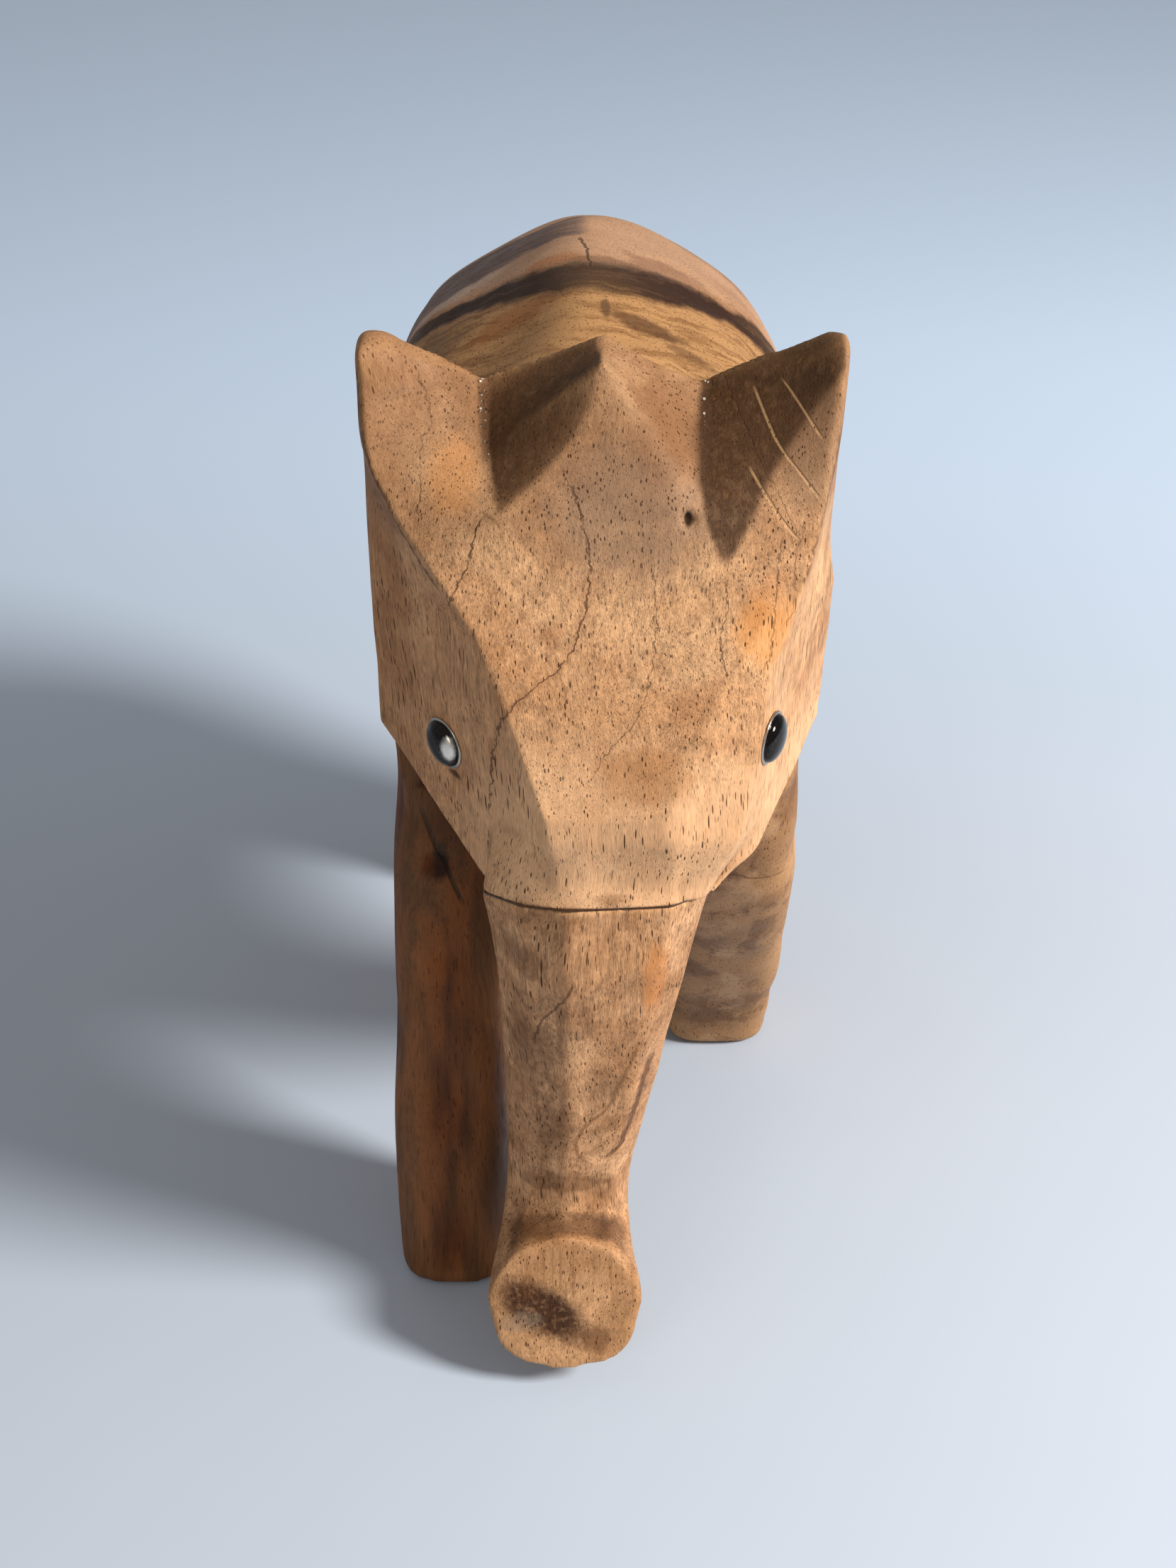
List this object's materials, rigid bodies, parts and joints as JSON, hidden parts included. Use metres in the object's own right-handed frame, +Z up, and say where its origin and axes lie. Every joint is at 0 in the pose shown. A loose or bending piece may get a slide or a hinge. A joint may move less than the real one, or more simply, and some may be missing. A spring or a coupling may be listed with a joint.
{
  "type": "carved wooden elephant",
  "caption": "Solid carved wooden elephant, striding, with faceted head, upright ears, a separately glued hanging trunk curled at its tip, and domed metal tack eyes.",
  "frame": {"origin": "on the ground, under the middle of the overall box", "axes": "+Z up, the elephant faces -Y; left and right in the names are as seen from the front, left at -X"},
  "size_m": [0.0956, 0.2228, 0.238],
  "materials": {
    "torso_wood": "oiled satin, dark heartwood bands and pale sapwood",
    "head_wood": "oiled satin, open pores",
    "trunk_wood": "oiled satin, open pores",
    "dowel_wood": "plain turned",
    "dried_glue": "glossy dried glue",
    "tack_cap": "polished black nickel",
    "tack_shank": "plain steel"
  },
  "bodies": {
    "root": {"torso": "torso_wood", "head": "head_wood", "trunk": "trunk_wood", "neck_dowel_left": "dowel_wood", "neck_dowel_right": "dowel_wood", "trunk_dowel": "dowel_wood", "neck_glue": "dried_glue", "trunk_glue": "dried_glue", "eye_left": "tack_cap", "eye_right": "tack_cap", "eye_nail_left": "tack_shank", "eye_nail_right": "tack_shank"}
  },
  "joints": []
}
